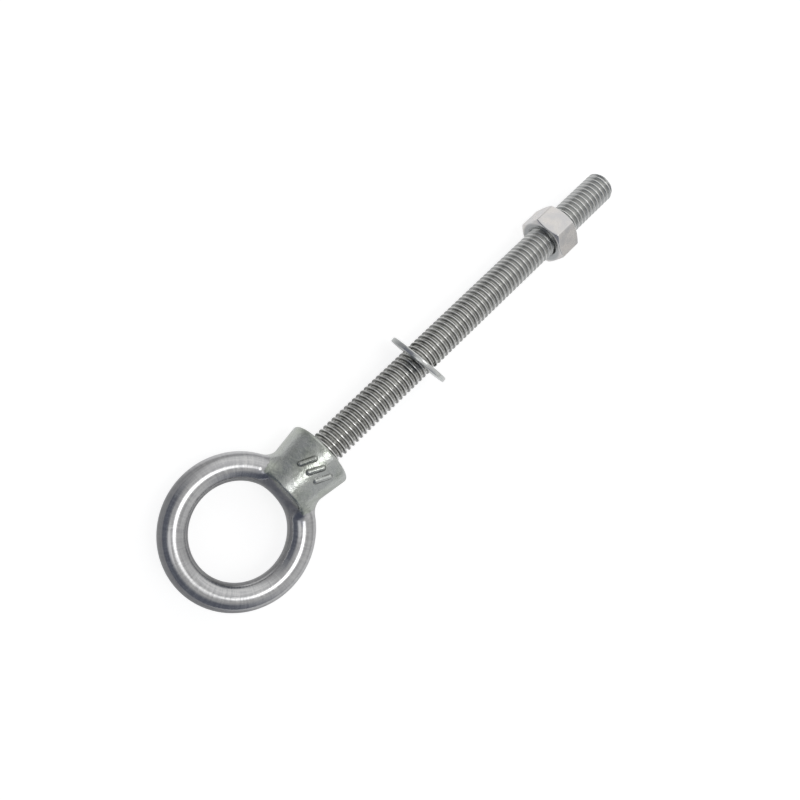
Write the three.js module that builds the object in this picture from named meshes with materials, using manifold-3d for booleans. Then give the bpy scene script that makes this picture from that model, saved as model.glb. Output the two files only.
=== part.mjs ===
// Eye bolt: a cast eye with a tapped collar, a fully threaded rod screwed into it,
// a loose flat washer and a hex nut.
//
// Millimetres, +Z up. The bolt lies on its side along +X with the eye flat, so that the eye's
// axis is Z. The origin is at the middle of the bolt's box, on the surface that it lies on.
// Inside the group `bolt`, x = 0 is the collar's seat face and the x axis is the rod's axis.

import * as THREE from 'three';
import { mergeVertices } from 'three/addons/utils/BufferGeometryUtils.js';
import Module from 'manifold-3d';

const wasm = await Module();
wasm.setup();

// ---------------------------------------------------------------- driving dimensions

const INCH = 25.4;
const CLEARANCE = 0.3; // gap between pieces that touch or thread together

const THREAD_DIAMETER = INCH / 2;
const THREADS_PER_INCH = 12;
const THREAD_START = 1.42; // where the crest passes the +Y side of the rod
const ROD_REACH = 6.5 * INCH; // from the seat face to the rod's free end
const ROD_GRIP = 15; // length screwed into the collar

const EYE_INSIDE_DIAMETER = 34.9;
const EYE_SECTION_DIAMETER = 10.2;
const EYE_TO_SEAT = 39.9; // from the eye's centre to the seat face

const COLLAR_DIAMETER = 26.2; // at its widest, where the seat face's edge starts to round
const COLLAR_TAPER = THREE.MathUtils.degToRad(8.2);
const COLLAR_LENGTH = 20.4; // from the seat face to its lower end, on top of the eye's ring
const COLLAR_EDGE_RADIUS = 1.2;

const WASHER_OUTSIDE_DIAMETER = 25;
const WASHER_HOLE_DIAMETER = 14.8;
const WASHER_THICKNESS = 1.9;
const WASHER_AT = 51.7; // x of its centre
const WASHER_LEAN = THREE.MathUtils.degToRad(21); // hangs askew on the rod
const WASHER_LEAN_TOWARDS = THREE.MathUtils.degToRad(54); // about X, from +Y

const NUT_ACROSS_FLATS = 0.75 * INCH;
const NUT_HEIGHT = (7 / 16) * INCH;
const NUT_AT = 125.4; // x of the face nearer the eye

const ROUND_SEGMENTS = 48;

// ---------------------------------------------------------------- derived dimensions

const PITCH = INCH / THREADS_PER_INCH;
const THREAD_DEPTH = 0.64 * PITCH; // Whitworth form
const THREAD_RADIUS = THREAD_DIAMETER / 2;
const BORE_RADIUS = THREAD_RADIUS + CLEARANCE;

const SECTION_RADIUS = EYE_SECTION_DIAMETER / 2;
const EYE_MEAN_RADIUS = EYE_INSIDE_DIAMETER / 2 + SECTION_RADIUS;
const EYE_OUTSIDE_RADIUS = EYE_MEAN_RADIUS + SECTION_RADIUS;
const COLLAR_RADIUS = COLLAR_DIAMETER / 2;

const LOW_X = -EYE_TO_SEAT - EYE_OUTSIDE_RADIUS;
const HIGH_X = ROD_REACH;

// ---------------------------------------------------------------- materials

const polishedSteel = new THREE.MeshStandardMaterial({
  color: 0xb9bbbd,
  roughness: 0.22,
  metalness: 1,
});
const rolledSteel = new THREE.MeshStandardMaterial({
  color: 0x9ea09f,
  roughness: 0.38,
  metalness: 1,
});
const washerSteel = new THREE.MeshStandardMaterial({
  color: 0xa9adb0,
  roughness: 0.3,
  metalness: 1,
});
const platedSteel = new THREE.MeshStandardMaterial({
  color: 0xc6c4c1,
  roughness: 0.42,
  metalness: 1,
});

// ---------------------------------------------------------------- helpers

// The closed solid of a three.js geometry, with its shared vertices merged.
function solidOf(geometry) {
  const bare = geometry.clone();
  bare.deleteAttribute('normal');
  bare.deleteAttribute('uv');
  const merged = mergeVertices(bare, 1e-4);
  const index = merged.index.array;
  const triangles = [];
  for (let i = 0; i < index.length; i += 3) {
    const [a, b, c] = index.slice(i, i + 3);
    if (a !== b && b !== c && c !== a) triangles.push(a, b, c);
  }
  return new wasm.Manifold(new wasm.Mesh({
    numProp: 3,
    vertProperties: new Float32Array(merged.attributes.position.array),
    triVerts: new Uint32Array(triangles),
  }));
}

function geometryOf(solid) {
  const mesh = solid.getMesh();
  const geometry = new THREE.BufferGeometry();
  geometry.setAttribute('position', new THREE.BufferAttribute(mesh.vertProperties, 3));
  geometry.setIndex(new THREE.BufferAttribute(mesh.triVerts, 1));
  geometry.computeVertexNormals();
  return geometry;
}

// A solid of revolution about +X, from [x, radius] points in order of rising x.
function turned(points, segments = ROUND_SEGMENTS) {
  const profile = points.map(([x, radius]) => new THREE.Vector2(radius, x));
  const geometry = new THREE.LatheGeometry(profile, segments);
  geometry.rotateZ(-Math.PI / 2);
  return geometry;
}

// ---------------------------------------------------------------- eye

// The radius of the collar's tapered side at x.
function collarRadiusAt(x) {
  return COLLAR_RADIUS + (x + COLLAR_EDGE_RADIUS) * Math.tan(COLLAR_TAPER);
}

// The round boss that carries the thread: widest at the seat face, narrowing towards the eye,
// and cut square where it sits on the ring, so that a step shows above and below the ring.
function collarBlank() {
  const edgeSteps = 4;
  const lip = 0.6; // bevel round the lower end
  const points = [
    [-COLLAR_LENGTH, 0],
    [-COLLAR_LENGTH, collarRadiusAt(-COLLAR_LENGTH) - lip],
    [-COLLAR_LENGTH + lip, collarRadiusAt(-COLLAR_LENGTH + lip)],
  ];
  for (let i = 0; i <= edgeSteps; i += 1) {
    const turn = (i / edgeSteps) * (Math.PI / 2);
    const x = -COLLAR_EDGE_RADIUS * (1 - Math.sin(turn));
    const radius = COLLAR_RADIUS - COLLAR_EDGE_RADIUS * (1 - Math.cos(turn));
    points.push([x, radius]);
  }
  points.push([0, 0]);
  return solidOf(turned(points));
}

// The blind hole for the rod, with a drill point below it and a countersink at its mouth.
function tappedHole() {
  const depth = ROD_GRIP + 1;
  const drillPoint = BORE_RADIUS * Math.tan(THREE.MathUtils.degToRad(31));
  const countersink = 0.6;
  return solidOf(turned([
    [-depth - drillPoint, 0],
    [-depth, BORE_RADIUS],
    [-countersink, BORE_RADIUS],
    [countersink, BORE_RADIUS + 2 * countersink],
    [countersink, 0],
  ]));
}

// One raised bar with round ends on the collar's upper side, slanted, at an angle about X.
function castingBar(angle) {
  const length = 6.4;
  const width = 1.5;
  const height = 2.5;
  const proud = 0.45;
  const middle = -8.2;
  const outline = new THREE.Shape();
  outline.absarc(length / 2 - width / 2, 0, width / 2, -Math.PI / 2, Math.PI / 2);
  outline.absarc(-length / 2 + width / 2, 0, width / 2, Math.PI / 2, 1.5 * Math.PI);
  const geometry = new THREE.ExtrudeGeometry(outline, {
    depth: height,
    bevelEnabled: false,
    curveSegments: 5,
  });
  geometry.rotateZ(THREE.MathUtils.degToRad(-25));
  geometry.rotateY(-COLLAR_TAPER);
  geometry.translate(middle, 0, collarRadiusAt(middle) + proud - height);
  geometry.rotateX(angle);
  return solidOf(geometry);
}

function eyeGeometry() {
  const ring = new THREE.TorusGeometry(EYE_MEAN_RADIUS, SECTION_RADIUS, 16, 64);
  ring.translate(-EYE_TO_SEAT, 0, 0);
  let solid = collarBlank().add(solidOf(ring));
  for (const degrees of [-20, 0, 20]) {
    solid = solid.add(castingBar(THREE.MathUtils.degToRad(degrees)));
  }
  return geometryOf(solid.subtract(tappedHole()));
}

// ---------------------------------------------------------------- threaded rod

// A right-hand thread as a sheared grid: along the rod, vertices alternate between crest and
// root every half pitch, and each step round the rod moves them on by its share of a pitch.
// The seam closes on itself one pitch, or two rows, further on.
function threadBlank(from, to) {
  const around = 12;
  const firstTurn = Math.floor((from - THREAD_START) / PITCH) - 2;
  const turns = Math.ceil((to - from) / PITCH) + 4;
  const rows = 2 * turns;
  const positions = [];
  for (let row = 0; row <= rows + 2; row += 1) {
    const radius = row % 2 === 0 ? THREAD_RADIUS : THREAD_RADIUS - THREAD_DEPTH;
    for (let i = 0; i < around; i += 1) {
      const angle = (i / around) * 2 * Math.PI;
      const x = THREAD_START + PITCH * (firstTurn + row / 2 + i / around);
      positions.push(x, radius * Math.cos(angle), radius * Math.sin(angle));
    }
  }
  const vertex = (row, i) => (i < around ? row * around + i : (row + 2) * around + i - around);
  const index = [];
  for (let row = 0; row < rows; row += 1) {
    for (let i = 0; i < around; i += 1) {
      index.push(vertex(row, i), vertex(row, i + 1), vertex(row + 1, i + 1));
      index.push(vertex(row, i), vertex(row + 1, i + 1), vertex(row + 1, i));
    }
  }
  closeEnd(index, positions, vertex, around, 0, THREAD_START + PITCH * (firstTurn - 1));
  closeEnd(index, positions, vertex, around, rows,
    THREAD_START + PITCH * (firstTurn + turns + 2));
  const geometry = new THREE.BufferGeometry();
  geometry.setAttribute('position', new THREE.Float32BufferAttribute(positions, 3));
  geometry.setIndex(index);
  return solidOf(geometry);
}

// Closes a helical edge with a fan from a point on the axis, and the step where it meets itself.
function closeEnd(index, positions, vertex, around, row, x) {
  const centre = positions.length / 3;
  positions.push(x, 0, 0);
  const edge = [];
  for (let i = 0; i <= around; i += 1) edge.push(vertex(row, i));
  edge.push(vertex(row + 1, 0), vertex(row, 0));
  for (let i = 0; i + 1 < edge.length; i += 1) {
    if (row === 0) index.push(centre, edge[i + 1], edge[i]);
    else index.push(centre, edge[i], edge[i + 1]);
  }
}

function rodGeometry() {
  const chamfer = 1.1;
  const outside = THREAD_RADIUS + 0.2;
  const root = THREAD_RADIUS - THREAD_DEPTH;
  const ends = solidOf(turned([
    [-ROD_GRIP, 0],
    [-ROD_GRIP, root],
    [-ROD_GRIP + outside - root, outside],
    [ROD_REACH - chamfer - 0.2, outside],
    [ROD_REACH, THREAD_RADIUS - chamfer],
    [ROD_REACH, 0],
  ]));
  return geometryOf(threadBlank(-ROD_GRIP, ROD_REACH).intersect(ends));
}

// ---------------------------------------------------------------- flat washer

// A stamped washer, its upper edges a little rounded by the punch.
function washerGeometry() {
  const half = WASHER_THICKNESS / 2;
  const inside = WASHER_HOLE_DIAMETER / 2;
  const outside = WASHER_OUTSIDE_DIAMETER / 2;
  const round = 0.35;
  return turned([
    [-half, inside],
    [-half, outside - round],
    [-half + round, outside],
    [half, outside],
    [half, inside + round],
    [half - round, inside],
    [-half, inside],
  ]);
}

// ---------------------------------------------------------------- hex nut

// A hexagon with corners at the top and bottom, its corners turned off at 30 degrees on both
// faces, with a plain bore that clears the rod's crests and a countersink at each mouth.
function nutGeometry() {
  const cornerRadius = NUT_ACROSS_FLATS / Math.sqrt(3);
  const hexagon = new THREE.CylinderGeometry(cornerRadius, cornerRadius, NUT_HEIGHT, 6);
  hexagon.rotateZ(-Math.PI / 2);
  hexagon.translate(NUT_HEIGHT / 2, 0, 0);
  const faceRadius = 0.475 * NUT_ACROSS_FLATS;
  const beyond = cornerRadius + 1;
  const slope = Math.tan(Math.PI / 6);
  const chamfers = solidOf(turned([
    [0, 0],
    [0, faceRadius],
    [(beyond - faceRadius) * slope, beyond],
    [NUT_HEIGHT - (beyond - faceRadius) * slope, beyond],
    [NUT_HEIGHT, faceRadius],
    [NUT_HEIGHT, 0],
  ]));
  const countersink = 0.6;
  const mouth = BORE_RADIUS + 2 * countersink;
  const bore = solidOf(turned([
    [-countersink, 0],
    [-countersink, mouth],
    [countersink, BORE_RADIUS],
    [NUT_HEIGHT - countersink, BORE_RADIUS],
    [NUT_HEIGHT + countersink, mouth],
    [NUT_HEIGHT + countersink, 0],
  ]));
  return geometryOf(solidOf(hexagon).intersect(chamfers).subtract(bore));
}

// ---------------------------------------------------------------- assembly

function piece(name, geometry, material) {
  const mesh = new THREE.Mesh(geometry, material);
  mesh.name = name;
  return mesh;
}

function leaningWasher() {
  const washer = piece('flat_washer', washerGeometry(), washerSteel);
  const normal = new THREE.Vector3(
    Math.cos(WASHER_LEAN),
    Math.sin(WASHER_LEAN) * Math.cos(WASHER_LEAN_TOWARDS),
    Math.sin(WASHER_LEAN) * Math.sin(WASHER_LEAN_TOWARDS),
  );
  washer.quaternion.setFromUnitVectors(new THREE.Vector3(1, 0, 0), normal);
  washer.position.x = WASHER_AT;
  return washer;
}

function placedNut() {
  const nut = piece('hex_nut', nutGeometry(), platedSteel);
  nut.position.x = NUT_AT;
  return nut;
}

const bolt = new THREE.Group();
bolt.add(piece('eye', eyeGeometry(), polishedSteel));
bolt.add(piece('threaded_rod', rodGeometry(), rolledSteel));
bolt.add(leaningWasher());
bolt.add(placedNut());
bolt.position.set(-(LOW_X + HIGH_X) / 2, 0, COLLAR_RADIUS);

const model = new THREE.Group();
model.add(bolt);

export default model;
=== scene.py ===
"""Eye bolt: a polished cast eye with a satin collar, a fully threaded rod, a loose flat washer
and a hex nut, lying on a pale floor. Metres, in the CAD frame: the rod's axis runs along +X."""

import math

import bmesh
import bpy
import numpy as np
from mathutils import Matrix, Vector


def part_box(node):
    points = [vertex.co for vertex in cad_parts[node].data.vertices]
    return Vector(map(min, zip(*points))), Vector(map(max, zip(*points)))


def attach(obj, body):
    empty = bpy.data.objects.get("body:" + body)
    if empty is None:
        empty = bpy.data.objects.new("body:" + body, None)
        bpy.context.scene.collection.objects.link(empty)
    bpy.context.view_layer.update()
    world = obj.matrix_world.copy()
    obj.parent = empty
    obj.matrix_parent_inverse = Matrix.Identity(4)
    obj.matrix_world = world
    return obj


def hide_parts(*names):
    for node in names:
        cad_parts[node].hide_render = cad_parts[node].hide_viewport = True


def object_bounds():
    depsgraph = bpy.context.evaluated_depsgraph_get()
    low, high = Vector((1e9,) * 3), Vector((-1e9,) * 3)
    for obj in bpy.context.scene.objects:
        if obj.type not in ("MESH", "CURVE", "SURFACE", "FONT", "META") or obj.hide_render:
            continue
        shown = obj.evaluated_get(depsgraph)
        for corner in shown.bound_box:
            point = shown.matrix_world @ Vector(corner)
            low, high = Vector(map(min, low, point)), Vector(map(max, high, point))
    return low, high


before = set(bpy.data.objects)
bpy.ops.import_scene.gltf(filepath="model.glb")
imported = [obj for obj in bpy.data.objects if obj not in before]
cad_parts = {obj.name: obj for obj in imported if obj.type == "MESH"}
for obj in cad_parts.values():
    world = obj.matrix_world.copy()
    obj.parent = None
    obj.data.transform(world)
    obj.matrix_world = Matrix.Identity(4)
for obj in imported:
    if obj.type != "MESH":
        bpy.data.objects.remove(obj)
CAD_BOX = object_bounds()

MM = 0.001

# ------------------------------------------------------------------ sizes, with places from the frame

EYE_LOW, EYE_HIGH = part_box("eye")
ROD_LOW, ROD_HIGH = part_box("threaded_rod")
WASHER_LOW, WASHER_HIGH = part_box("flat_washer")
NUT_LOW, NUT_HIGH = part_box("hex_nut")

SEAT_X = EYE_HIGH.x  # the collar's seat face
AXIS_Z = (EYE_LOW.z + EYE_HIGH.z) / 2  # height of the rod's axis

RING_OUTSIDE_RADIUS = EYE_HIGH.y
RING_SECTION_RADIUS = 5.1 * MM
RING_MEAN_RADIUS = RING_OUTSIDE_RADIUS - RING_SECTION_RADIUS
RING_X = EYE_LOW.x + RING_OUTSIDE_RADIUS
COLLAR_RADIUS = (EYE_HIGH.z - EYE_LOW.z) / 2
COLLAR_TAPER = math.radians(8.2)
COLLAR_EDGE_RADIUS = 1.2 * MM
COLLAR_LENGTH = 20.4 * MM
COLLAR_BACK_EDGE_RADIUS = 0.8 * MM
CASTING_FILLET = 3.6 * MM

BAR_RADIUS = 0.8 * MM  # of the three raised casting bars
BAR_HALF_LENGTH = 2.6 * MM
BAR_MIDDLE_X = SEAT_X - 8.2 * MM
BAR_AXIS_RADIUS = COLLAR_RADIUS - 1.16 * MM  # of each bar's own axis, about the rod's
BAR_SLANT = math.radians(-25)
BAR_TURNS = (-20, 0, 20)  # degrees about the rod's axis from straight up
BAR_FILLET = 0.25 * MM

PITCH = 25.4 * MM / 12
THREAD_DEPTH = 0.64 * PITCH
CREST_FLAT = 0.21 * PITCH
FLANK_ANGLE = math.radians(27.5)
CREST_RADIUS = ROD_HIGH.y
CREST_AT = SEAT_X + 1.42 * MM  # where a crest passes the rod's +Y side

WASHER_RADIUS = 12.5 * MM
WASHER_HOLE_RADIUS = 7.4 * MM
WASHER_THICKNESS = 1.9 * MM
WASHER_LEAN = math.radians(21)
WASHER_LEAN_TOWARDS = math.radians(54)

NUT_HALF_FLATS = NUT_HIGH.y
NUT_FACE_RADIUS = 0.975 * NUT_HALF_FLATS  # of the flat part of each end
NUT_CHAMFER = math.radians(30)

BORE_CLEARANCE = 0.15 * MM  # round the rod's crests, in the collar
MOUTH_CLEARANCE = 0.9 * MM  # the same at the edge of a countersunk hole


# ------------------------------------------------------------------ solids as distances

def smooth_step(value, low, high):
    t = np.clip((value - low) / (high - low), 0, 1)
    return t * t * (3 - 2 * t)


def both(a, b, radius):
    """The overlap of two solids, with its edge rounded to a radius."""
    edge = np.hypot(np.maximum(a + radius, 0), np.maximum(b + radius, 0))
    return np.minimum(np.maximum(a, b), -radius) + edge


def either(a, b, radius):
    """Two solids joined, with a fillet of that radius between them."""
    return -both(-a, -b, radius)


def round_about_axis(y, z):
    return np.hypot(y, z - AXIS_Z)


def thread_depth_at(phase):
    """How far below the crest the thread is, at a share of a pitch from a crest: a narrow flat
    on the crest and another in the root, with worn corners."""
    soft = 0.03 * PITCH
    along = np.abs((phase + 0.5) % 1 - 0.5) * PITCH
    fall = (along - CREST_FLAT / 2) / math.tan(FLANK_ANGLE)
    flank = (fall + np.hypot(fall, soft)) / 2
    left = THREAD_DEPTH - flank
    return THREAD_DEPTH - (left + np.hypot(left, 2 * soft)) / 2


# ------------------------------------------------------------------ skin on a distance

def slope_of(distance, points, reach):
    """The gradient of a distance at points, by differences over a small reach."""
    slopes = []
    for axis in range(3):
        shift = np.zeros(3)
        shift[axis] = reach
        ahead = distance(*(points + shift).T)
        behind = distance(*(points - shift).T)
        slopes.append((ahead - behind) / (2 * reach))
    return np.stack(slopes, axis=1)


def drop_onto(distance, points, reach, steps=3):
    """Moves points onto the surface where the distance is zero."""
    for _ in range(steps):
        slope = slope_of(distance, points, reach)
        size = np.maximum((slope**2).sum(axis=1, keepdims=True), 0.05)
        points = points - slope * distance(*points.T)[:, None] / size
    return points


def relaxed(points, quads):
    """Each point moved to the middle of its neighbours along the quads' edges."""
    ends = np.concatenate([quads, np.roll(quads, -1, axis=1)]).T.reshape(-1)
    starts = np.concatenate([np.roll(quads, -1, axis=1), quads]).T.reshape(-1)
    count = np.bincount(ends, minlength=len(points))
    sums = [np.bincount(ends, points[starts, i], len(points)) for i in range(3)]
    return np.stack(sums, axis=1) / count[:, None]


def crossed_cells(inside):
    """Numbers the grid's cells that the surface passes through, and leaves the rest at -1."""
    size = np.array(inside.shape) - 1
    corners = np.zeros(size, int)
    for corner in np.ndindex(2, 2, 2):
        part = tuple(slice(c, c + s) for c, s in zip(corner, size))
        corners += inside[part]
    crossed = (corners > 0) & (corners < 8)
    number = np.full(size, -1)
    number[crossed] = np.arange(crossed.sum())
    return crossed, number


def cell_quads(inside, number):
    """One quad round each grid edge that the surface crosses, facing out of the solid."""
    quads = []
    for axis in range(3):
        painted_reflection_lower_flank = np.moveaxis(inside, axis, 0)[:-1, 1:-1, 1:-1]
        painted_shade_upper_flank = np.moveaxis(inside, axis, 0)[1:, 1:-1, 1:-1]
        cells = np.moveaxis(number, axis, 0)
        i, j, k = np.nonzero(painted_reflection_lower_flank != painted_shade_upper_flank)
        ring = [cells[i, j, k], cells[i, j + 1, k], cells[i, j + 1, k + 1], cells[i, j, k + 1]]
        quad = np.stack(ring, axis=1)
        faces_up = painted_reflection_lower_flank[i, j, k]
        if axis == 1:  # moving this axis first leaves the other two in reversed order
            faces_up = ~faces_up
        quads.append(np.where(faces_up[:, None], quad, quad[:, ::-1]))
    return np.concatenate(quads)


def skin(name, distance, low, high, step, rounds=8):
    """A closed mesh over the solid where the distance is negative, with a normal at each vertex
    from the distance itself, and its curvature kept as an attribute for the material."""
    axes = [np.arange(a - 2.5 * step, b + 2.5 * step, step) for a, b in zip(low, high)]
    inside = distance(*np.meshgrid(*axes, indexing="ij")) < 0
    crossed, number = crossed_cells(inside)
    cells = np.argwhere(crossed)
    points = np.stack([axes[i][cells[:, i]] + step / 2 for i in range(3)], axis=1)
    quads = cell_quads(inside, number)
    reach = step * 0.1
    points = drop_onto(distance, points, reach)
    for _ in range(rounds):
        points = drop_onto(distance, relaxed(points, quads), reach, steps=2)
    mesh = bpy.data.meshes.new(name)
    mesh.from_pydata(points.tolist(), [], quads.tolist())
    mesh.polygons.foreach_set("use_smooth", np.ones(len(quads), bool))
    normals = slope_of(distance, points, reach)
    normals /= np.linalg.norm(normals, axis=1, keepdims=True)
    mesh.normals_split_custom_set_from_vertices(normals.tolist())
    keep_value(mesh, "bend", bend_of(distance, points))
    return new_object(name, mesh)


def bend_of(distance, points, reach=0.45 * MM):
    """How sharply a surface bends, in units of one over millimetres: positive on an outside edge,
    negative in a groove."""
    total = -6 * distance(*points.T)
    for axis in range(3):
        shift = np.zeros(3)
        shift[axis] = reach
        total += distance(*(points + shift).T) + distance(*(points - shift).T)
    return total / reach**2 * MM


def keep_value(mesh, name, values):
    attribute = mesh.attributes.new(name, "FLOAT", "POINT")
    attribute.data.foreach_set("value", np.asarray(values, np.float32))


def new_object(name, mesh):
    obj = bpy.data.objects.new(name, mesh)
    bpy.context.scene.collection.objects.link(obj)
    return obj


def vertices_of(obj):
    points = np.empty(len(obj.data.vertices) * 3)
    obj.data.vertices.foreach_get("co", points)
    return points.reshape(-1, 3)


# ------------------------------------------------------------------ eye and collar

def ring_distance(x, y, z):
    from_centre = np.hypot(x - RING_X, y)
    return np.hypot(from_centre - RING_MEAN_RADIUS, z - AXIS_Z) - RING_SECTION_RADIUS


def collar_distance(x, y, z):
    """The tapered boss, rounded at its seat edge and cut square where it sits on the ring."""
    radius = COLLAR_RADIUS + (x - SEAT_X + COLLAR_EDGE_RADIUS) * math.tan(COLLAR_TAPER)
    side = (round_about_axis(y, z) - radius) * math.cos(COLLAR_TAPER)
    boss = both(side, x - SEAT_X, COLLAR_EDGE_RADIUS)
    return both(boss, SEAT_X - COLLAR_LENGTH - x, COLLAR_BACK_EDGE_RADIUS)


def bar_distance(x, y, z, turn):
    """One short slanted casting bar on the collar's upper side, at an angle about the axis."""
    height = z - AXIS_Z
    along = x - BAR_MIDDLE_X
    up = y * math.sin(-turn) + height * math.cos(turn)
    across = y * math.cos(turn) + height * math.sin(turn)
    run = along * math.cos(BAR_SLANT) + across * math.sin(BAR_SLANT)
    off = across * math.cos(BAR_SLANT) - along * math.sin(BAR_SLANT)
    past_end = np.maximum(np.abs(run) - BAR_HALF_LENGTH, 0)
    level = up - BAR_AXIS_RADIUS - along * math.tan(COLLAR_TAPER)
    return np.sqrt(past_end**2 + off**2 + level**2) - BAR_RADIUS


def eye_distance(x, y, z):
    """The ring, collar and bars as one casting, with a blind countersunk hole for the rod."""
    casting = either(ring_distance(x, y, z), collar_distance(x, y, z), CASTING_FILLET)
    for degrees in BAR_TURNS:
        bar = bar_distance(x, y, z, math.radians(degrees))
        casting = either(casting, bar, BAR_FILLET)
    from_axis = round_about_axis(y, z)
    bore = from_axis - (CREST_RADIUS + BORE_CLEARANCE)
    bore = np.maximum(bore, ROD_LOW.x - 1 * MM - x)
    mouth = (from_axis - CREST_RADIUS - MOUTH_CLEARANCE - (x - SEAT_X)) / math.sqrt(2)
    return both(casting, -np.minimum(bore, mouth), 0.15 * MM)


def make_eye():
    """The casting, with two values for its material: "polish" is 1 on the ring and 0 on the
    collar, and "lip" is 1 under the collar's edge, on the side that faces the ring's hole, where
    the material paints a dark reflection."""
    eye = skin("eye_casting", eye_distance, EYE_LOW, EYE_HIGH, 0.4 * MM)
    x, y, z = vertices_of(eye).T
    nearer_ring = collar_distance(x, y, z) - ring_distance(x, y, z)
    off_collar = smooth_step(nearer_ring, 0.2 * MM, 2.2 * MM)
    under_lip = smooth_step(SEAT_X - COLLAR_LENGTH - x, -0.1 * MM, 0.7 * MM)
    keep_value(eye.data, "polish", np.maximum(off_collar, under_lip))
    facing_hole = smooth_step((x - RING_X) / RING_MEAN_RADIUS, 0.70, 0.80)
    inside_ring = RING_MEAN_RADIUS - np.hypot(x - RING_X, y)
    hole_side = smooth_step(inside_ring, 0, 1.5 * MM)
    keep_value(eye.data, "lip", under_lip * facing_hole * hole_side)
    return eye


# ------------------------------------------------------------------ threaded rod

def make_rod():
    """The thread as a sheared grid that closes on itself one pitch further on, its crests
    turned down to a chamfer at both ends, and its ends cut square."""
    around = 64
    crest_chamfer = 1.1 * MM  # how far below the crests the thread starts, at the free end
    hidden_chamfer = 1.5 * MM  # the same at the end inside the collar
    half_phases = np.array([0, 0.075, 0.10, 0.13, 0.25, 0.39, 0.43, 0.465, 0.5])
    phases = np.concatenate([half_phases, 1 - half_phases[-2:0:-1]])
    first = math.floor((ROD_LOW.x - CREST_AT) / PITCH) - 2
    turns = math.ceil((ROD_HIGH.x - ROD_LOW.x) / PITCH) + 4
    rows = turns * len(phases)
    row_phase = (np.arange(turns + 1)[:, None] + phases).reshape(-1)
    share = np.arange(around) / around
    x = CREST_AT + PITCH * (first + row_phase[:, None] + share)
    radius = np.broadcast_to(CREST_RADIUS - thread_depth_at(row_phase)[:, None], x.shape)
    radius = np.minimum(radius, CREST_RADIUS - crest_chamfer + np.abs(ROD_HIGH.x - x))
    radius = np.minimum(radius, CREST_RADIUS - hidden_chamfer + np.abs(x - ROD_LOW.x))
    angle = 2 * math.pi * share
    y = radius * np.cos(angle)
    z = AXIS_Z + radius * np.sin(angle)
    points = np.stack([x, y, z], axis=2).reshape(-1, 3)
    row, step = np.meshgrid(np.arange(rows), np.arange(around), indexing="ij")
    wraps = step == around - 1
    across = np.where(wraps, (row + len(phases)) * around, row * around + step + 1)
    here = row * around + step
    quads = np.stack([here, across, across + around, here + around], axis=2).reshape(-1, 4)
    quads = quads[(quads < len(points)).all(axis=1)]
    mesh = bpy.data.meshes.new("rod_thread")
    mesh.from_pydata(points.tolist(), [], quads.tolist())
    cut_ends(mesh, ROD_LOW.x, ROD_HIGH.x)
    return new_object("rod_thread", mesh)


def cut_ends(mesh, low, high):
    """Cuts a mesh square at two places along X and closes each cut with a flat face."""
    work = bmesh.new()
    work.from_mesh(mesh)
    for face in work.faces:
        face.smooth = True
    for x, direction in ((low, -1), (high, 1)):
        cut = bmesh.ops.bisect_plane(
            work,
            geom=work.verts[:] + work.edges[:] + work.faces[:],
            plane_co=(x, 0, AXIS_Z),
            plane_no=(direction, 0, 0),
            clear_outer=True,
        )
        edges = [item for item in cut["geom_cut"] if isinstance(item, bmesh.types.BMEdge)]
        closed = bmesh.ops.contextual_create(work, geom=edges)
        for face in closed["faces"]:
            face.smooth = False
    loose = [vertex for vertex in work.verts if not vertex.link_faces]
    bmesh.ops.delete(work, geom=loose, context="VERTS")
    bmesh.ops.recalc_face_normals(work, faces=work.faces[:])
    work.to_mesh(mesh)
    work.free()


# ------------------------------------------------------------------ flat washer

def arc(centre, radius, start, end, steps):
    """Points on an arc, by degrees, in the plane of x and radius."""
    turns = np.radians(np.linspace(start, end, steps + 1))
    return [(centre[0] + radius * math.cos(a), centre[1] + radius * math.sin(a)) for a in turns]


def make_washer():
    """A stamped ring on a lean: the punch has rolled the edges of its face towards the nut, and
    those towards the eye are crisp."""
    half = WASHER_THICKNESS / 2
    soft = 0.5 * MM
    crisp = 0.28 * MM
    outline = (
        arc((-half + crisp, WASHER_RADIUS - crisp), crisp, 180, 90, 3)
        + arc((half - soft, WASHER_RADIUS - soft), soft, 90, 0, 6)
        + arc((half - soft, WASHER_HOLE_RADIUS + soft), soft, 0, -90, 6)
        + arc((-half + crisp, WASHER_HOLE_RADIUS + crisp), crisp, -90, -180, 3)
    )
    segments = 128
    points = []
    for angle in 2 * math.pi * np.arange(segments) / segments:
        for x, radius in outline:
            points.append((x, radius * math.cos(angle), radius * math.sin(angle)))
    count = len(outline)
    quads = []
    for i in range(segments):
        row = i * count
        next_row = (i + 1) % segments * count
        for j in range(count):
            k = (j + 1) % count
            quads.append((row + j, row + k, next_row + k, next_row + j))
    mesh = bpy.data.meshes.new("washer_disc")
    mesh.from_pydata(points, [], quads)
    lean = math.sin(WASHER_LEAN)
    normal = Vector((
        math.cos(WASHER_LEAN),
        lean * math.cos(WASHER_LEAN_TOWARDS),
        lean * math.sin(WASHER_LEAN_TOWARDS),
    ))
    turn = Vector((1, 0, 0)).rotation_difference(normal).to_matrix().to_4x4()
    centre = (WASHER_LOW + WASHER_HIGH) / 2
    mesh.transform(Matrix.Translation(centre) @ turn)
    mesh.polygons.foreach_set("use_smooth", np.ones(len(quads), bool))
    mesh.set_sharp_from_angle(angle=math.radians(50))
    return new_object("washer_disc", mesh)


# ------------------------------------------------------------------ hex nut

def nut_flats(y, z):
    """An endless hexagonal bar with slightly rounded corners, two of its flats facing +Y and -Y."""
    height = z - AXIS_Z
    flats = np.abs(y) - NUT_HALF_FLATS
    for degrees in (60, 120):
        turn = math.radians(degrees)
        across = np.abs(y * math.cos(turn) + height * math.sin(turn)) - NUT_HALF_FLATS
        flats = both(flats, across, 0.45 * MM)
    return flats


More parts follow.
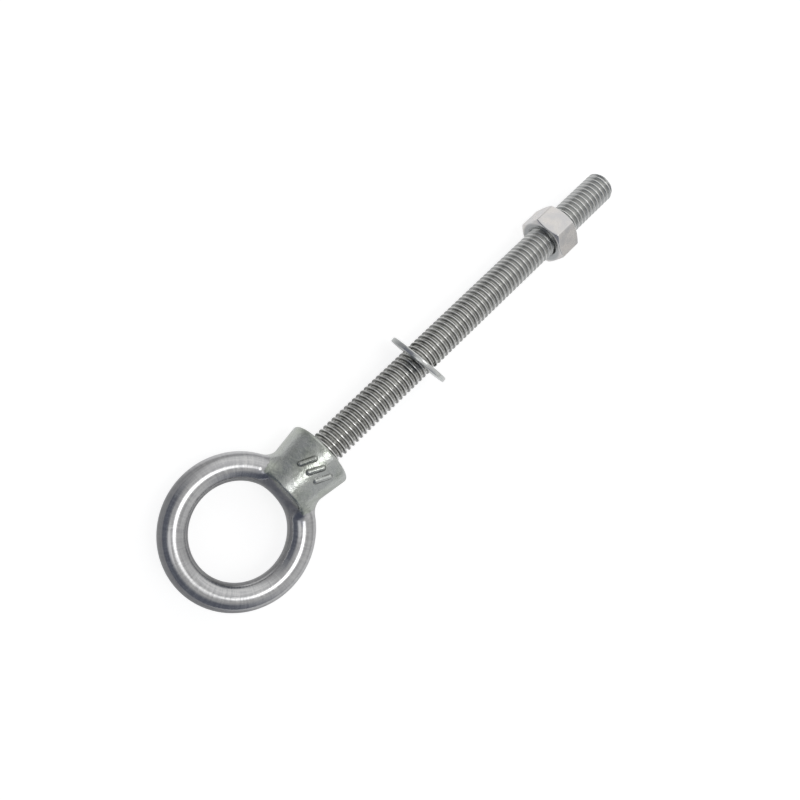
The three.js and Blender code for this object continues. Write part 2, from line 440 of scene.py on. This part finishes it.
def nut_end(y, z, depth):
    """One turned end at a depth below it: a flat face with a 30 degree chamfer round it."""
    past_face = round_about_axis(y, z) - NUT_FACE_RADIUS
    chamfer = past_face * math.sin(NUT_CHAMFER) - depth * math.cos(NUT_CHAMFER)
    return both(chamfer, -depth, 0.15 * MM)


def nut_distance(x, y, z):
    """The bar cut off by two turned ends, and threaded inside to follow the rod's thread."""
    thread_clearance = 0.1 * MM
    inner_crest_depth = 0.55 * PITCH
    depths = (x - NUT_LOW.x, NUT_HIGH.x - x)
    body = nut_flats(y, z)
    for depth in depths:
        body = both(body, nut_end(y, z, depth), 0.25 * MM)
    from_axis = round_about_axis(y, z)
    phase = (x - CREST_AT) / PITCH - np.arctan2(z - AXIS_Z, y) / (2 * math.pi)
    groove = np.minimum(thread_depth_at(phase), inner_crest_depth)
    bore = (from_axis - (CREST_RADIUS + thread_clearance - groove)) * 0.5
    for depth in depths:
        past_crest = from_axis - CREST_RADIUS - MOUTH_CLEARANCE
        mouth = past_crest * math.sin(NUT_CHAMFER) + depth * math.cos(NUT_CHAMFER)
        bore = np.minimum(bore, mouth)
    return both(body, -bore, 0.08 * MM)


def make_nut():
    """The nut, with a value for its material: "turned" is 1 on its ends and 0 on its flats."""
    nut = skin("nut_hex", nut_distance, NUT_LOW, NUT_HIGH, 0.22 * MM, rounds=6)
    x, y, z = vertices_of(nut).T
    ends = np.maximum(nut_end(y, z, x - NUT_LOW.x), nut_end(y, z, NUT_HIGH.x - x))
    keep_value(nut.data, "turned", smooth_step(ends - nut_flats(y, z), -0.15 * MM, 0.05 * MM))
    return nut


# ------------------------------------------------------------------ material helpers

class Nodes:
    """Short calls that build one node tree. An input is a number, a tuple or another socket."""

    def __init__(self, tree):
        self.tree = tree
        tree.nodes.clear()

    def add(self, kind, inputs=None, **settings):
        node = self.tree.nodes.new("ShaderNode" + kind)
        for key, value in settings.items():
            setattr(node, key, value)
        for key, value in (inputs or {}).items():
            if isinstance(value, bpy.types.NodeSocket):
                self.tree.links.new(value, node.inputs[key])
            else:
                node.inputs[key].default_value = value
        return node

    def math(self, operation, a, b=0.0):
        return self.add("Math", {0: a, 1: b}, operation=operation).outputs[0]

    def length(self, a, b):
        """The length of a step with sides a and b."""
        squares = self.math("ADD", self.math("POWER", a, 2.0), self.math("POWER", b, 2.0))
        return self.math("SQRT", squares)

    def parts(self, where):
        return self.add("SeparateXYZ", {0: where}).outputs

    def noise(self, where, scale, detail=3.0, roughness=0.5):
        inputs = {"Vector": where, "Scale": scale, "Detail": detail, "Roughness": roughness}
        return self.add("TexNoise", inputs).outputs["Fac"]

    def ramp(self, value, low, high, start=0.0, end=1.0):
        """A smooth change from start to end, while the value goes from low to high."""
        inputs = {"Value": value, "From Min": low, "From Max": high, "To Min": start, "To Max": end}
        return self.add("MapRange", inputs, interpolation_type="SMOOTHSTEP").outputs[0]

    def blend(self, factor, a, b):
        """Between two numbers."""
        return self.add("Mix", {"Factor": factor, "A": a, "B": b}).outputs[0]

    def mix(self, factor, a, b):
        """Between two colours."""
        node = self.add("Mix", {"Factor": factor}, data_type="RGBA")
        for socket, value in ((node.inputs[6], a), (node.inputs[7], b)):
            if isinstance(value, bpy.types.NodeSocket):
                self.tree.links.new(value, socket)
            else:
                socket.default_value = (*value, 1)
        return node.outputs[2]

    def stretched(self, where, stretch):
        return self.add("VectorMath", {0: where, 1: stretch}, operation="MULTIPLY").outputs[0]

    def bump(self, height, distance, strength=1.0):
        inputs = {"Height": height, "Distance": distance, "Strength": strength}
        return self.add("Bump", inputs).outputs[0]


def metal(name):
    material = bpy.data.materials.new(name)
    material.use_nodes = True
    return material, Nodes(material.node_tree)


def finish_metal(n, colour, roughness, normal):
    inputs = {"Base Color": colour, "Metallic": 1.0, "Roughness": roughness, "Normal": normal}
    shader = n.add("BsdfPrincipled", inputs)
    n.add("OutputMaterial", {"Surface": shader.outputs[0]})


def position(n):
    return n.add("NewGeometry").outputs["Position"]


def value_of(n, name):
    """A value that the mesh keeps at its vertices."""
    return n.add("Attribute", attribute_name=name).outputs["Fac"]


# ------------------------------------------------------------------ materials

def ring_coordinates(n, where):
    """Position round the ring, out from its centre and up, so that polishing marks follow it."""
    shift = (-RING_X, 0, -AXIS_Z)
    x, y, z = n.parts(n.add("VectorMath", {0: where, 1: shift}, operation="ADD").outputs[0])
    run = n.math("MULTIPLY", n.math("ARCTAN2", y, x), RING_MEAN_RADIUS)
    return n.add("CombineXYZ", {0: run, 1: n.length(x, y), 2: z}).outputs[0]


def from_rod_axis(n, where):
    _, y, z = n.parts(where)
    return n.length(y, n.math("SUBTRACT", z, AXIS_Z))


def cast_steel():
    """Polished on the ring, with fine marks along and across it; satin, mottled and greenish on the
    collar, darker in patches in its grooves, with paler outside edges and a painted dark blue
    reflection under the collar's lip, on the side that faces the ring's hole."""
    green_low = (0.44, 0.47, 0.42)
    green_high = (0.60, 0.63, 0.57)
    pale_cloud = (0.62, 0.64, 0.62)
    polished_low = (0.54, 0.54, 0.55)
    polished_high = (0.66, 0.66, 0.66)
    painted_lip_reflection = (0.36, 0.37, 0.42)
    crease_black = (0.07, 0.07, 0.065)
    worn_edge = (0.72, 0.73, 0.71)

    material, n = metal("cast_steel")
    where = position(n)
    mottle = n.noise(where, 620, 5.0, 0.65)
    clouds = n.noise(where, 150, 2.0)
    lumps = n.noise(where, 800, 2.0, 0.4)
    grain = n.noise(where, 3200, 2.0)
    edge = n.math("ADD", value_of(n, "polish"), n.ramp(mottle, 0.3, 0.7, -0.35, 0.35))
    polish = n.ramp(edge, 0.35, 0.65)
    bend = value_of(n, "bend")
    local = ring_coordinates(n, where)
    across = n.noise(n.stretched(local, (1400, 110, 110)), 1.0, 3.0, 0.6)
    along = n.noise(n.stretched(local, (90, 1500, 1500)), 1.0, 3.0, 0.6)
    satin = n.mix(n.ramp(mottle, 0.35, 0.65), green_low, green_high)
    satin = n.mix(n.ramp(clouds, 0.35, 0.7), satin, pale_cloud)
    marks = n.ramp(n.math("ADD", along, across), 0.75, 1.25)
    colour = n.mix(polish, satin, n.mix(marks, polished_low, polished_high))
    # painted dark blue reflection under the collar's lip, on the side that faces the ring's hole
    lip_reflection_share = n.math("MULTIPLY", value_of(n, "lip"), n.ramp(mottle, 0.3, 0.6, 0.5, 0.9))
    colour = n.mix(lip_reflection_share, colour, painted_lip_reflection)
    # darker in patches in the grooves and creases
    crease_dark = n.math("MULTIPLY", n.ramp(bend, -0.25, -1.3), n.ramp(mottle, 0.25, 0.6, 0.4, 1.0))
    colour = n.mix(n.math("MULTIPLY", crease_dark, 0.8), colour, crease_black)
    colour = n.mix(n.ramp(bend, 0.7, 2.2, 0.0, 0.5), colour, worn_edge)

    rough_satin = n.ramp(n.math("ADD", mottle, clouds), 0.75, 1.2, 0.14, 0.29)
    rough_bright = n.ramp(across, 0.35, 0.65, 0.14, 0.23)
    roughness = n.blend(polish, rough_satin, rough_bright)
    cast = n.math("ADD", lumps, n.math("MULTIPLY", grain, 0.22))
    worked = n.math("ADD", n.math("MULTIPLY", across, 0.24), n.math("MULTIPLY", along, 0.10))
    height = n.blend(polish, cast, worked)
    finish_metal(n, colour, roughness, n.bump(height, 0.10 * MM, 1.0))
    return material


def rod_steel():
    """A rolled thread: burnished crests; flanks with painted shade near the crests and a painted
    bright reflection lower down; roots with painted shade and stains; the flanks' painted shade
    turns much lighter towards the free end, as painted light, with less root shade and stain there."""
    painted_shade_flank_low = (0.26, 0.26, 0.25)
    painted_shade_flank_high = (0.37, 0.37, 0.35)
    painted_shade_flank_far = (0.60, 0.61, 0.60)
    painted_reflection_flank = (0.76, 0.76, 0.74)
    painted_reflection_flank_far = (0.68, 0.68, 0.67)
    root_shade_and_stain = (0.18, 0.18, 0.17)
    burnished = (0.88, 0.88, 0.86)

    material, n = metal("rod_steel")
    where = position(n)
    depth = n.math("SUBTRACT", CREST_RADIUS, from_rod_axis(n, where))
    # painted light: the upper flanks are painted much lighter towards the free end; the same ramp
    # thins the root's shade and stains and raises roughness there
    towards_free_end = n.ramp(n.parts(where)[0], -20 * MM, ROD_HIGH.x)
    patches = n.noise(where, 260, 4.0, 0.6)
    stains = n.noise(n.stretched(where, (160, 420, 420)), 1.0, 4.0, 0.6)
    drag = n.noise(n.stretched(where, (5200, 500, 500)), 1.0, 3.0)
    # painted shade on the upper flanks, near the crests, and a painted bright reflection on the lower
    # flanks
    painted_shade_upper_flank = n.mix(n.ramp(patches, 0.3, 0.7), painted_shade_flank_low, painted_shade_flank_high)
    painted_shade_upper_flank = n.mix(towards_free_end, painted_shade_upper_flank, painted_shade_flank_far)
    painted_reflection_lower_flank = n.mix(towards_free_end, painted_reflection_flank, painted_reflection_flank_far)
    colour = n.mix(n.ramp(depth, 0.66 * MM, 0.92 * MM), painted_shade_upper_flank, painted_reflection_lower_flank)
    # the roots darkened: painted shade, in patches that are stains
    root = n.ramp(depth, 1.10 * MM, 1.26 * MM)
    root_shade_and_dirt = n.math("MULTIPLY", root, n.ramp(stains, 0.35, 0.7, 0.45, 0.85))
    root_shade_and_dirt = n.math("MULTIPLY", root_shade_and_dirt, n.blend(towards_free_end, 1.0, 0.6))
    colour = n.mix(root_shade_and_dirt, colour, root_shade_and_stain)
    crest = n.ramp(depth, 0.12 * MM, 0.03 * MM)
    worn = n.math("MULTIPLY", crest, n.ramp(patches, 0.25, 0.6, 0.75, 1.0))
    colour = n.mix(worn, colour, burnished)
    rough = n.math("ADD", n.ramp(patches, 0.3, 0.7, 0.10, 0.16), n.math("MULTIPLY", root_shade_and_dirt, 0.15))
    rough = n.math("ADD", rough, n.math("MULTIPLY", towards_free_end, 0.10))
    finish_metal(n, colour, rough, n.bump(drag, 0.015 * MM, 0.5))
    return material


def washer_steel():
    """Stamped and tumbled: cloudy, with a fine uneven surface."""
    cloudy_low = (0.70, 0.72, 0.71)
    cloudy_high = (0.83, 0.84, 0.82)

    material, n = metal("washer_steel")
    where = position(n)
    tumble = n.noise(where, 900, 4.0, 0.6)
    clouds = n.noise(where, 220, 2.0)
    colour = n.mix(n.ramp(clouds, 0.3, 0.7), cloudy_low, cloudy_high)
    roughness = n.ramp(tumble, 0.3, 0.7, 0.15, 0.28)
    finish_metal(n, colour, roughness, n.bump(tumble, 0.02 * MM, 0.6))
    return material


def nut_steel():
    """Pale and satin with fine lines along it, paler on its edges, greyer on its turned ends and with
    painted shade in its thread."""
    warm_low = (0.76, 0.75, 0.75)
    warm_high = (0.88, 0.85, 0.82)
    edge_white = (0.93, 0.93, 0.92)
    painted_thread_shade = (0.16, 0.16, 0.16)
    turned_grey = (0.45, 0.47, 0.48)

    material, n = metal("nut_steel")
    where = position(n)
    bend = value_of(n, "bend")
    lines = n.noise(n.stretched(where, (260, 1500, 1500)), 1.0, 3.0)
    patches = n.noise(where, 240, 2.0, 0.5)
    colour = n.mix(n.ramp(patches, 0.3, 0.7), warm_low, warm_high)
    colour = n.mix(n.ramp(bend, 0.8, 3.0, 0.0, 0.7), colour, edge_white)
    from_axis = from_rod_axis(n, where)
    shade = n.ramp(from_axis, CREST_RADIUS + 0.6 * MM, CREST_RADIUS - 0.4 * MM, 0.0, 0.7)
    # painted shade in the thread, darker towards the axis
    colour = n.mix(shade, colour, painted_thread_shade)
    face = n.ramp(from_axis, 1.02 * NUT_HALF_FLATS, 0.86 * NUT_HALF_FLATS, 0.0, 0.8)
    colour = n.mix(n.math("MULTIPLY", value_of(n, "turned"), face), colour, turned_grey)
    roughness = n.ramp(patches, 0.3, 0.7, 0.20, 0.29)
    finish_metal(n, colour, roughness, n.bump(lines, 0.015 * MM, 0.5))
    return material


# ------------------------------------------------------------------ stage

def place_camera():
    """A 40 mm lens 0.3 m up, behind the eye and to one side, looking down along the rod."""
    camera = bpy.data.objects.new("camera", bpy.data.cameras.new("camera"))
    camera.data.sensor_width = 36
    camera.data.lens = 40.47
    look = Vector((0.3261, -0.2571, -0.9097)).normalized()
    photo_up = Vector((0.6577, 0.7530, 0.0230))
    right = look.cross(photo_up).normalized()
    up = right.cross(look)
    turn = Matrix((right, up, -look)).transposed()
    eye_point = Vector((SEAT_X - 73.26 * MM, 79.85 * MM, AXIS_Z + 304.65 * MM))
    camera.matrix_world = Matrix.Translation(eye_point) @ turn.to_4x4()
    camera.data.clip_start = 0.01
    bpy.context.scene.collection.objects.link(camera)
    bpy.context.scene.camera = camera


def lay_floor():
    """A pale plain floor. The metal sees it greyer than the camera does, lighter to one side of
    the rod and beside the collar, where the photo's reflections are light."""
    size = 4.0
    height = CAD_BOX[0].z - 0.05 * MM
    mesh = bpy.data.meshes.new("floor")
    corners = [(size * i, size * j, height) for i, j in ((-1, -1), (1, -1), (1, 1), (-1, 1))]
    mesh.from_pydata(corners, [], [(0, 1, 2, 3)])
    floor = new_object("floor", mesh)
    material = bpy.data.materials.new("floor")
    material.use_nodes = True
    n = Nodes(material.node_tree)
    camera_ray = n.add("LightPath").outputs["Is Camera Ray"]
    paper = n.add("BsdfDiffuse", {"Color": (0.42, 0.42, 0.42, 1)}).outputs[0]
    glow = n.add("Emission", {"Strength": 0.80}).outputs[0]
    seen = n.add("AddShader", {0: paper, 1: glow}).outputs[0]

    where = position(n)
    x, y, _ = n.parts(where)
    across = n.math("SUBTRACT", n.math("MULTIPLY", x, 0.6), n.math("MULTIPLY", y, 0.8))
    lighter_side = n.ramp(across, -55 * MM, 25 * MM, 0.07, 0.40)
    beside_collar = (SEAT_X - 9.225 * MM, 32 * MM, 0)
    away = n.add("VectorMath", {0: where, 1: beside_collar}, operation="DISTANCE")
    patch = n.ramp(away.outputs["Value"], 38 * MM, 12 * MM, 0.0, 0.35)
    light = n.add("Emission", {"Strength": n.math("ADD", lighter_side, patch)}).outputs[0]
    matt = n.add("BsdfDiffuse", {"Color": (0.34, 0.34, 0.35, 1)}).outputs[0]
    sheen = n.add("BsdfGlossy", {"Color": (0.75, 0.75, 0.75, 1), "Roughness": 0.5}).outputs[0]
    mirrored = n.add("MixShader", {0: 0.45, 1: matt, 2: sheen}).outputs[0]
    mirrored = n.add("AddShader", {0: mirrored, 1: light}).outputs[0]

    mixed = n.add("MixShader", {0: camera_ray, 1: mirrored, 2: seen}).outputs[0]
    n.add("OutputMaterial", {"Surface": mixed})
    mesh.materials.append(material)


def light_studio():
    """A grey room, dark behind the eye, with a round soft lamp overhead and four soft lights on
    its walls: past the free end, low to one side, high behind the eye, and round the lamp. The
    camera sees the room plain white."""
    overhead = (0.05, -0.05, 0.997)
    lamp_distance = 1.2
    wall_low = (0.36, 0.36, 0.36)
    wall_high = (0.50, 0.50, 0.50)
    dark_blue = (0.135, 0.145, 0.175)
    wall_lights = (  # direction, cosine at the edge, cosine where it is full, strength
        ((0.81, 0.29, 0.52), 0.60, 0.97, 0.32),
        ((0.10, -0.91, 0.40), 0.80, 0.98, 0.14),
        ((-0.54, 0.20, 0.82), 0.965, 0.990, 0.45),
        (overhead, 0.955, 0.996, 1.5),
    )
    world = bpy.data.worlds.new("studio")
    bpy.context.scene.world = world
    world.use_nodes = True
    n = Nodes(world.node_tree)
    direction = n.add("TexCoord").outputs["Generated"]
    x, _, z = n.parts(direction)
    level = n.math("SQRT", n.math("SUBTRACT", 1.0, n.math("POWER", z, 2.0)))
    behind = n.ramp(n.math("DIVIDE", x, level), 0.30, -0.45)
    dark = n.math("MULTIPLY", behind, n.ramp(z, 0.88, 0.60))
    wall = n.mix(n.ramp(z, 0.05, 0.30), wall_low, wall_high)
    colour = n.mix(dark, wall, dark_blue)
    glow = 0.0
    for towards, edge, core, strength in wall_lights:
        facing = n.add("VectorMath", {0: direction, 1: towards}, operation="DOT_PRODUCT")
        spot = n.ramp(facing.outputs["Value"], edge, core, 0.0, strength)
        glow = n.math("ADD", spot, glow)
    lit = n.add("Background", {"Color": colour, "Strength": 1.0}).outputs[0]
    extra = n.add("Background", {"Color": (1, 1, 1, 1), "Strength": glow}).outputs[0]
    room = n.add("AddShader", {0: lit, 1: extra}).outputs[0]
    seen = n.add("Background", {"Color": (1, 1, 1, 1), "Strength": 1.0}).outputs[0]
    camera_ray = n.add("LightPath").outputs["Is Camera Ray"]
    mixed = n.add("MixShader", {0: camera_ray, 1: room, 2: seen}).outputs[0]
    n.add("OutputWorld", {"Surface": mixed})

    lamp = bpy.data.objects.new("softbox", bpy.data.lights.new("softbox", "AREA"))
    lamp.data.shape = "DISK"
    lamp.data.size = 0.30
    lamp.data.energy = 0.32
    towards = Vector(overhead)
    lamp.location = Vector((RING_X, 0, AXIS_Z)) + towards * lamp_distance
    lamp.rotation_mode = "QUATERNION"
    lamp.rotation_quaternion = (-towards).to_track_quat("-Z", "Y")
    lamp.visible_camera = False
    bpy.context.scene.collection.objects.link(lamp)


# ------------------------------------------------------------------ build

def dress(piece, material, node, body):
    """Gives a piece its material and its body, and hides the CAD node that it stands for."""
    piece.data.materials.append(material)
    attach(piece, body)
    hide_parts(node)


place_camera()
lay_floor()
light_studio()
bpy.context.scene.view_settings.view_transform = "Standard"

dress(make_eye(), cast_steel(), "eye", "bolt")
dress(make_rod(), rod_steel(), "threaded_rod", "bolt")
dress(make_washer(), washer_steel(), "flat_washer", "washer")
dress(make_nut(), nut_steel(), "hex_nut", "nut")
